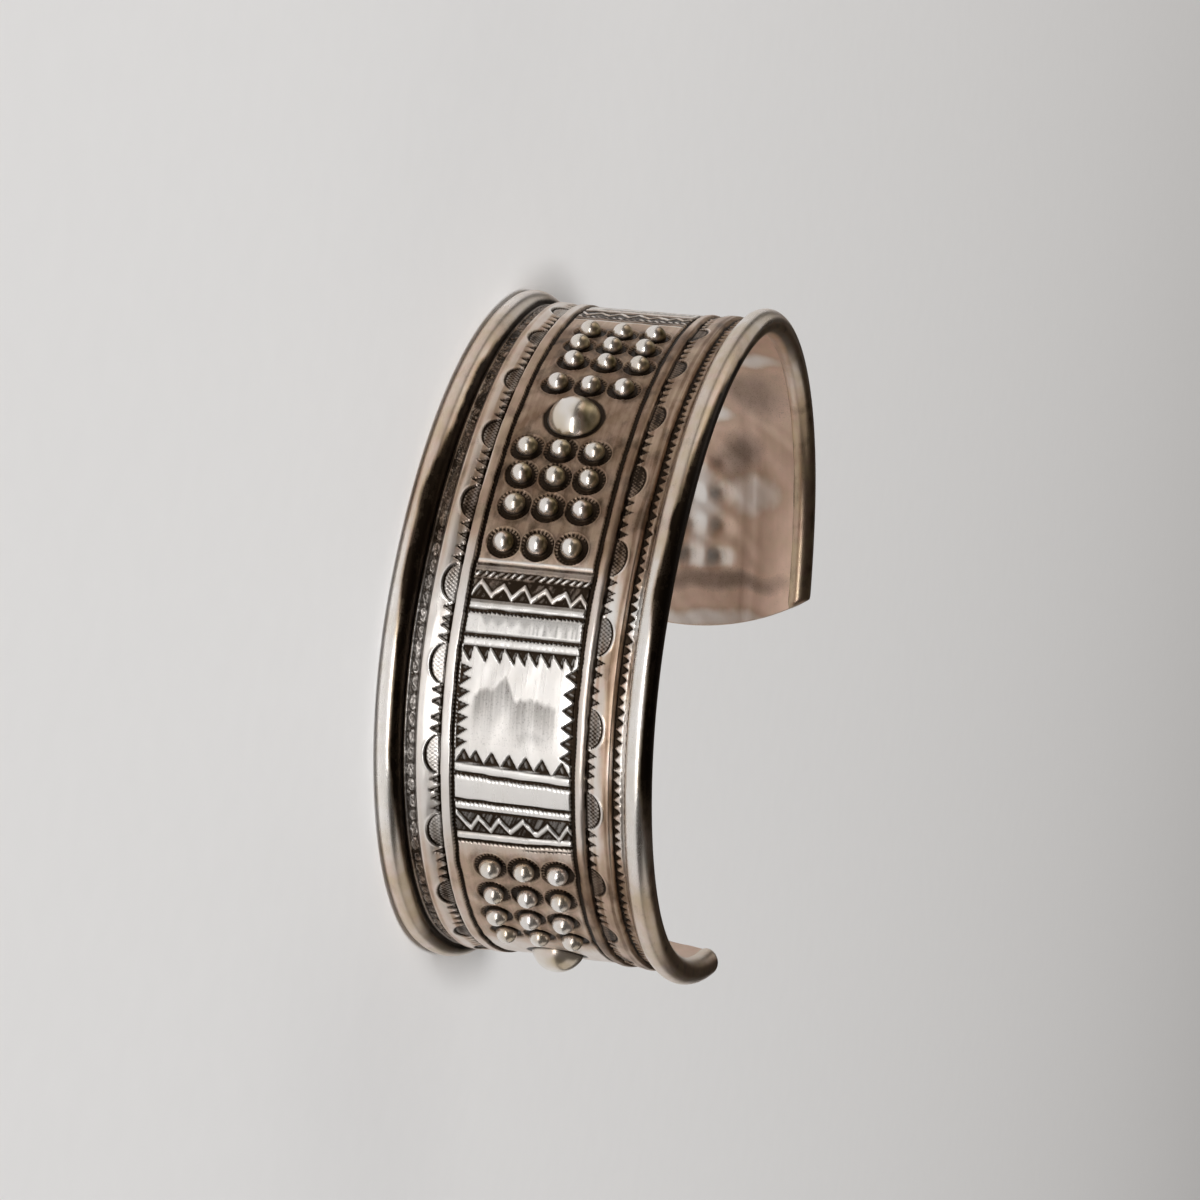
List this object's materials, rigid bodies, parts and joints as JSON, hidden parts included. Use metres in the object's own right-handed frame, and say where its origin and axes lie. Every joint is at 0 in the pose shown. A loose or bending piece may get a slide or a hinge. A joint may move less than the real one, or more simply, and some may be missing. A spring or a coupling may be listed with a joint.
{
  "type": "open silver cuff bangle",
  "caption": "Open oval cuff of stamped silver strip with a round wire along each edge, raised beads and domes, and a gap for the wrist.",
  "frame": {"origin": "centre of the cuff's box in plan, at the level that it rests on", "axes": "+Z across the strip, from the edge that it lies on to the other edge; +Y from the back of the cuff towards its gap; +X towards the longer end"},
  "size_m": [0.0626, 0.0512, 0.023],
  "materials": {
    "silver": "polished silver with dark oxide in the hollows and a rosy tarnish"
  },
  "bodies": {
    "root": {"cuff": "silver"}
  },
  "joints": []
}
